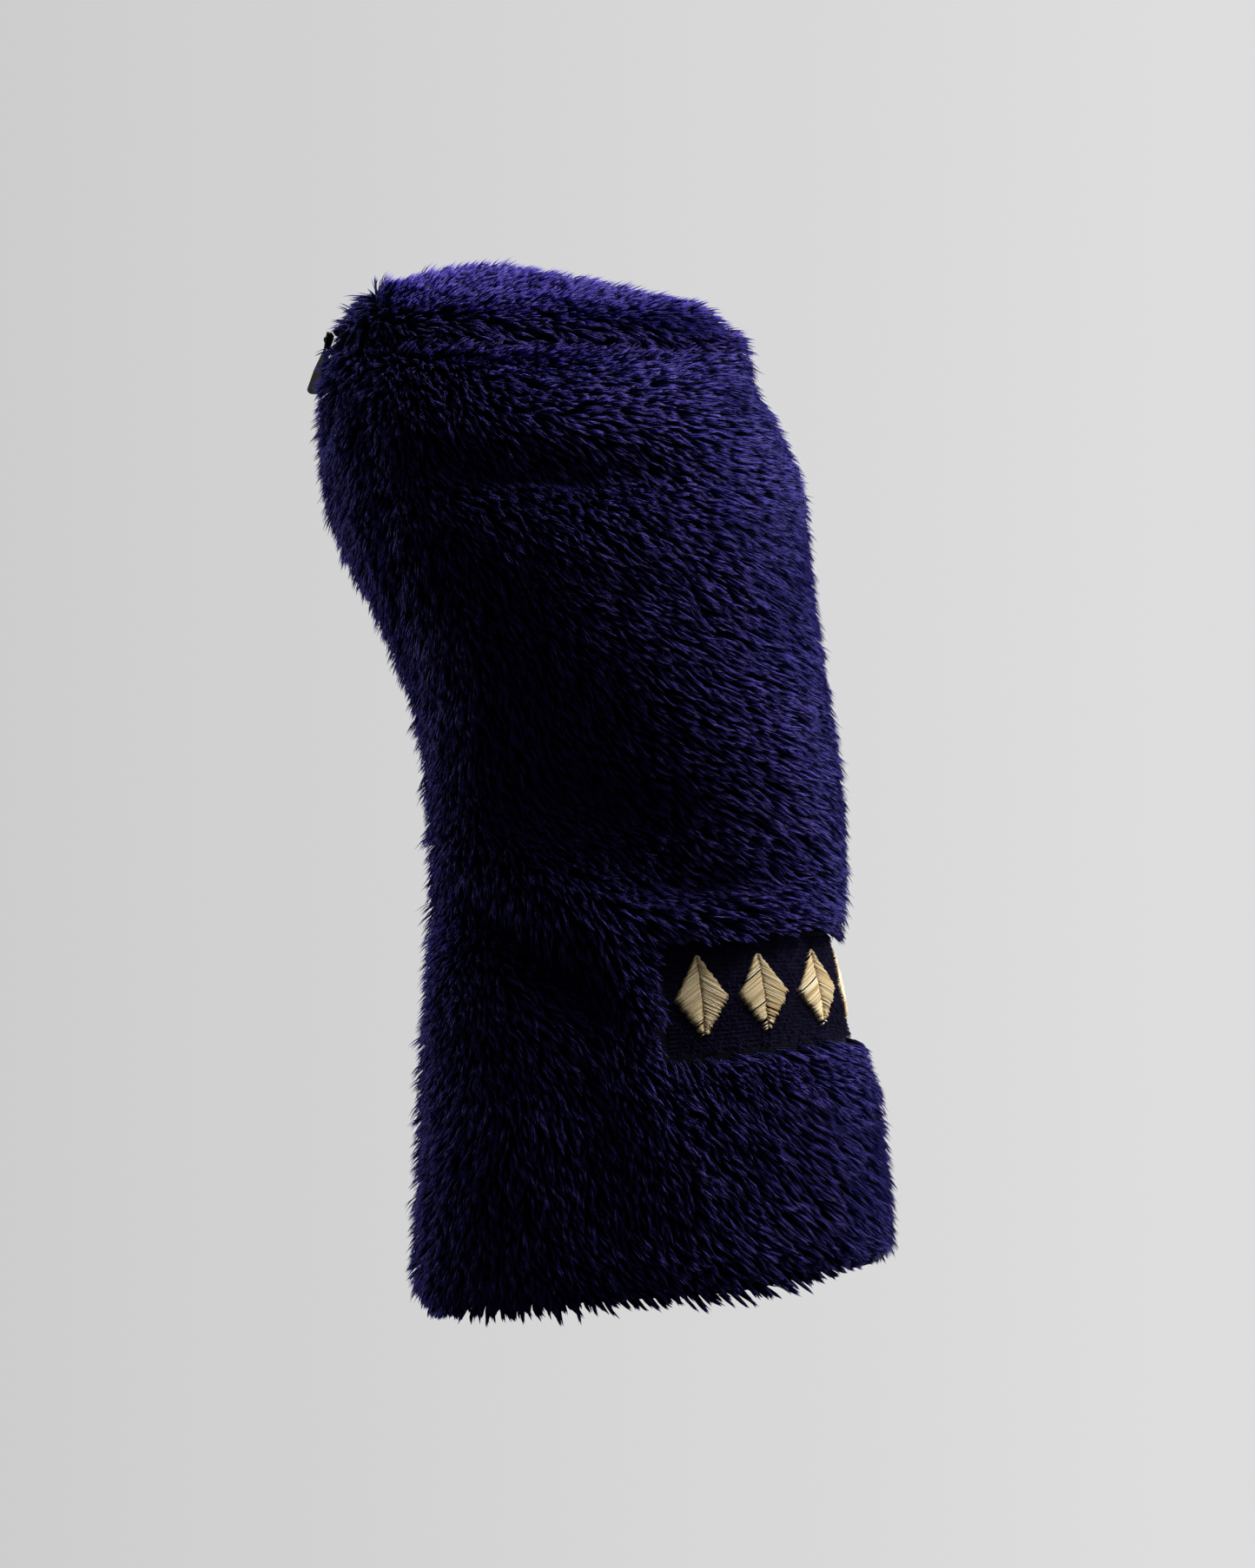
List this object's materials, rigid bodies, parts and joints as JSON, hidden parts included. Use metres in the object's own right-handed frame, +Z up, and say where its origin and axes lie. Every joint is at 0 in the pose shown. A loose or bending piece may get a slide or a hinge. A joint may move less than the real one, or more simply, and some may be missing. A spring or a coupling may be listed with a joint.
{
  "type": "golf club head cover",
  "caption": "Tall plush pile sock cover that slips over a golf club head, with an elastic neck, an embroidered knit band round its heel side and a small folded tab at the crown.",
  "frame": {"origin": "on the club shaft's axis, in the plane of the mouth", "axes": "+Z up along the club shaft towards the crown, -Y towards the front panel, +X towards the heel side that carries the embroidered band"},
  "size_m": [0.1818, 0.1068, 0.3277],
  "materials": {
    "navy_pile": "deep clumped faux-fur pile on a knitted backing",
    "navy_knit": "short brushed knit",
    "gold_thread": "satin stitch in lustrous rayon thread",
    "stabiliser": "matt non-woven",
    "wadding": "soft fibre wadding",
    "navy_lining": "smooth warp-knit lining",
    "hem_facing": "woven tape",
    "casing": "lining fabric strip",
    "elastic": "ribbed woven elastic",
    "black_webbing": "close woven flat webbing",
    "black_thread": "bartack stitching"
  },
  "bodies": {
    "cover": {"front_fur_panel": "navy_pile", "back_fur_panel": "navy_pile", "toe_gusset": "navy_pile", "crown_gusset": "navy_pile", "embroidered_band": "navy_knit", "band_stabiliser": "stabiliser", "gold_lozenge_1": "gold_thread", "gold_lozenge_2": "gold_thread", "gold_lozenge_3": "gold_thread", "gold_lozenge_4": "gold_thread", "gold_lozenge_5": "gold_thread", "gold_lozenge_6": "gold_thread", "gold_lozenge_7": "gold_thread", "front_padding": "wadding", "back_padding": "wadding", "crown_padding": "wadding", "front_lining": "navy_lining", "back_lining": "navy_lining", "crown_lining": "navy_lining", "hem_facing": "hem_facing", "elastic_casing": "casing", "neck_elastic": "elastic", "tab_anchor": "black_webbing"},
    "tab": {"side_tab": "black_webbing", "tab_bartack": "black_thread"}
  },
  "joints": [
    {"name": "side_tab_hinge", "type": "hinge", "parent": "cover", "child": "tab", "pos_m": [-0.1209, 0, 0.2994], "axis": [0, 1, 0], "range_deg": [-4, 118], "stiffness_Nm_per_rad": 0.002}
  ]
}
